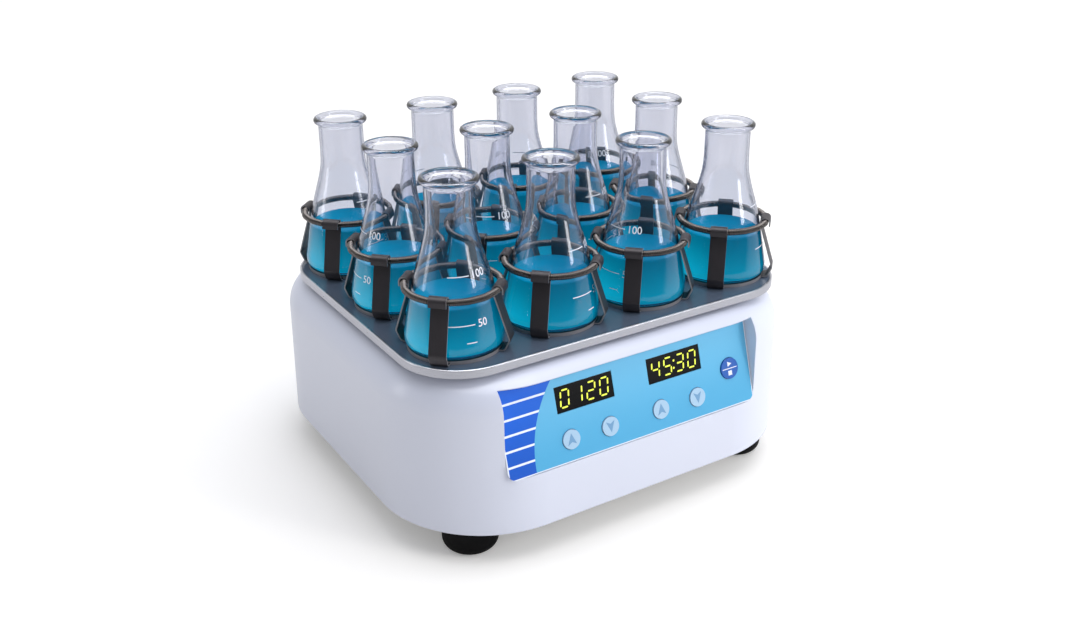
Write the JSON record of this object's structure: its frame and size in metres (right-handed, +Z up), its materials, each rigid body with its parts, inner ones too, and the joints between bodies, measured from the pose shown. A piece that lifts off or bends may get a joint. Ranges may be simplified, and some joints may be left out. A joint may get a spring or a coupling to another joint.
{
  "type": "orbital shaker",
  "caption": "Bench orbital shaker: sprung clamps hold conical flasks on a tray that circles without turning, over a moulded housing with a leaning key panel.",
  "frame": {"origin": "on the floor under the middle of the housing and of the tray's orbit", "axes": "+Z up, +X to the right seen from the control panel, -Y towards the person who uses it"},
  "size_m": [0.33, 0.31, 0.261],
  "materials": {
    "cover": "white moulded, glossy",
    "sheet_steel": "plain zinc-plated sheet",
    "foot_rubber": "black rubber",
    "screw_steel": "plated",
    "panel_overlay": "printed light blue film with a dark blue end",
    "board_green": "green circuit board",
    "display_black": "black display module",
    "key_pale": "pale lavender key",
    "key_blue": "royal blue key",
    "cast_alloy": "machined casting",
    "bearing_steel": "bright rings",
    "shaft_steel": "ground steel",
    "pulley_alloy": "turned",
    "weight_iron": "dark casting",
    "belt_rubber": "black belt",
    "motor_paint": "dark enamel",
    "tray_alloy": "bright satin edge",
    "mat_dark": "dark blue-grey sheet, half gloss",
    "spring_steel": "dark tempered spring strip",
    "coil_steel": "dark bright wire coil",
    "flask_glass": "clear laboratory glass",
    "connector_black": "black connector plastic",
    "supply_case": "folded case"
  },
  "bodies": {
    "base": {"housing": "cover", "base_plate": "sheet_steel", "feet": "foot_rubber", "foot_screws": "screw_steel", "cover_screws": "screw_steel", "control_panel": "panel_overlay", "control_board": "board_green", "display_speed": "display_black", "display_time": "display_black", "bearing_block": "cast_alloy", "main_bearings": "bearing_steel", "drive_belt": "belt_rubber", "motor": "motor_paint", "motor_bracket": "sheet_steel", "idler_posts": "cast_alloy", "idler_bearings": "bearing_steel", "power_inlet": "connector_black", "fuse_holder": "connector_black", "switch_frame": "connector_black", "power_supply": "supply_case"},
    "main_crank": {"drive_shaft": "shaft_steel", "driven_pulley": "pulley_alloy", "counterweight": "weight_iron"},
    "platform": {"carriage": "cast_alloy", "hub_bearing": "bearing_steel", "carriage_bearings": "bearing_steel", "tray": "tray_alloy", "tray_mat": "mat_dark", "tray_screws": "screw_steel", "clamps_front": "spring_steel", "clamps_middle": "spring_steel", "clamps_back": "spring_steel", "rings_front": "coil_steel", "rings_middle": "coil_steel", "rings_back": "coil_steel", "flask_front_1": "flask_glass", "flask_front_2": "flask_glass", "flask_front_3": "flask_glass", "flask_front_4": "flask_glass", "flask_middle_1": "flask_glass", "flask_middle_2": "flask_glass", "flask_middle_3": "flask_glass", "flask_middle_4": "flask_glass", "flask_back_1": "flask_glass", "flask_back_2": "flask_glass", "flask_back_3": "flask_glass", "flask_back_4": "flask_glass"},
    "motor_rotor": {"motor_shaft": "shaft_steel", "motor_pulley": "pulley_alloy"},
    "idler_1": {"idler_crank_1": "shaft_steel"},
    "idler_2": {"idler_crank_2": "shaft_steel"},
    "idler_3": {"idler_crank_3": "shaft_steel"},
    "idler_4": {"idler_crank_4": "shaft_steel"},
    "rocker": {"switch_rocker": "connector_black"},
    "key_speed_up_body": {"key_speed_up": "key_pale"},
    "key_speed_down_body": {"key_speed_down": "key_pale"},
    "key_time_up_body": {"key_time_up": "key_pale"},
    "key_time_down_body": {"key_time_down": "key_pale"},
    "key_start_stop_body": {"key_start_stop": "key_blue"}
  },
  "joints": [
    {"name": "main_crank_turn", "type": "hinge", "parent": "base", "child": "main_crank", "pos_m": [0, 0, 0.09], "axis": [0, 0, 1], "continuous": true},
    {"name": "platform_orbit", "type": "hinge", "parent": "main_crank", "child": "platform", "pos_m": [0, -0.008, 0.118], "axis": [0, 0, 1], "continuous": true},
    {"name": "motor_turn", "type": "hinge", "parent": "base", "child": "motor_rotor", "pos_m": [-0.096, 0, 0.09], "axis": [0, 0, 1], "continuous": true},
    {"name": "idler_turn_1", "type": "hinge", "parent": "base", "child": "idler_1", "pos_m": [-0.095, -0.062, 0.1], "axis": [0, 0, 1], "continuous": true},
    {"name": "idler_turn_2", "type": "hinge", "parent": "base", "child": "idler_2", "pos_m": [0.095, -0.062, 0.1], "axis": [0, 0, 1], "continuous": true},
    {"name": "idler_turn_3", "type": "hinge", "parent": "base", "child": "idler_3", "pos_m": [-0.095, 0.062, 0.1], "axis": [0, 0, 1], "continuous": true},
    {"name": "idler_turn_4", "type": "hinge", "parent": "base", "child": "idler_4", "pos_m": [0.095, 0.062, 0.1], "axis": [0, 0, 1], "continuous": true},
    {"name": "key_speed_up_press", "type": "slide", "parent": "base", "child": "key_speed_up_body", "axis": [0, 0.9578, -0.2874], "range_m": [0, 0.0008], "stiffness_N_per_m": 800, "springref_m": -0.001},
    {"name": "key_speed_down_press", "type": "slide", "parent": "base", "child": "key_speed_down_body", "axis": [0, 0.9578, -0.2874], "range_m": [0, 0.0008], "stiffness_N_per_m": 800, "springref_m": -0.001},
    {"name": "key_time_up_press", "type": "slide", "parent": "base", "child": "key_time_up_body", "axis": [0, 0.9578, -0.2874], "range_m": [0, 0.0008], "stiffness_N_per_m": 800, "springref_m": -0.001},
    {"name": "key_time_down_press", "type": "slide", "parent": "base", "child": "key_time_down_body", "axis": [0, 0.9578, -0.2874], "range_m": [0, 0.0008], "stiffness_N_per_m": 800, "springref_m": -0.001},
    {"name": "key_start_stop_press", "type": "slide", "parent": "base", "child": "key_start_stop_body", "axis": [0, 0.9578, -0.2874], "range_m": [0, 0.0008], "stiffness_N_per_m": 800, "springref_m": -0.001},
    {"name": "power_switch", "type": "hinge", "parent": "base", "child": "rocker", "pos_m": [-0.002, 0.14532, 0.062], "axis": [1, 0, 0], "range_deg": [-22, 0]}
  ],
  "couplings": [
    {"joint": "platform_orbit", "follows": "main_crank_turn", "ratio": -1},
    {"joint": "motor_turn", "follows": "main_crank_turn", "ratio": 3.25},
    {"joint": "idler_turn_1", "follows": "main_crank_turn", "ratio": 1},
    {"joint": "idler_turn_2", "follows": "main_crank_turn", "ratio": 1},
    {"joint": "idler_turn_3", "follows": "main_crank_turn", "ratio": 1},
    {"joint": "idler_turn_4", "follows": "main_crank_turn", "ratio": 1}
  ]
}
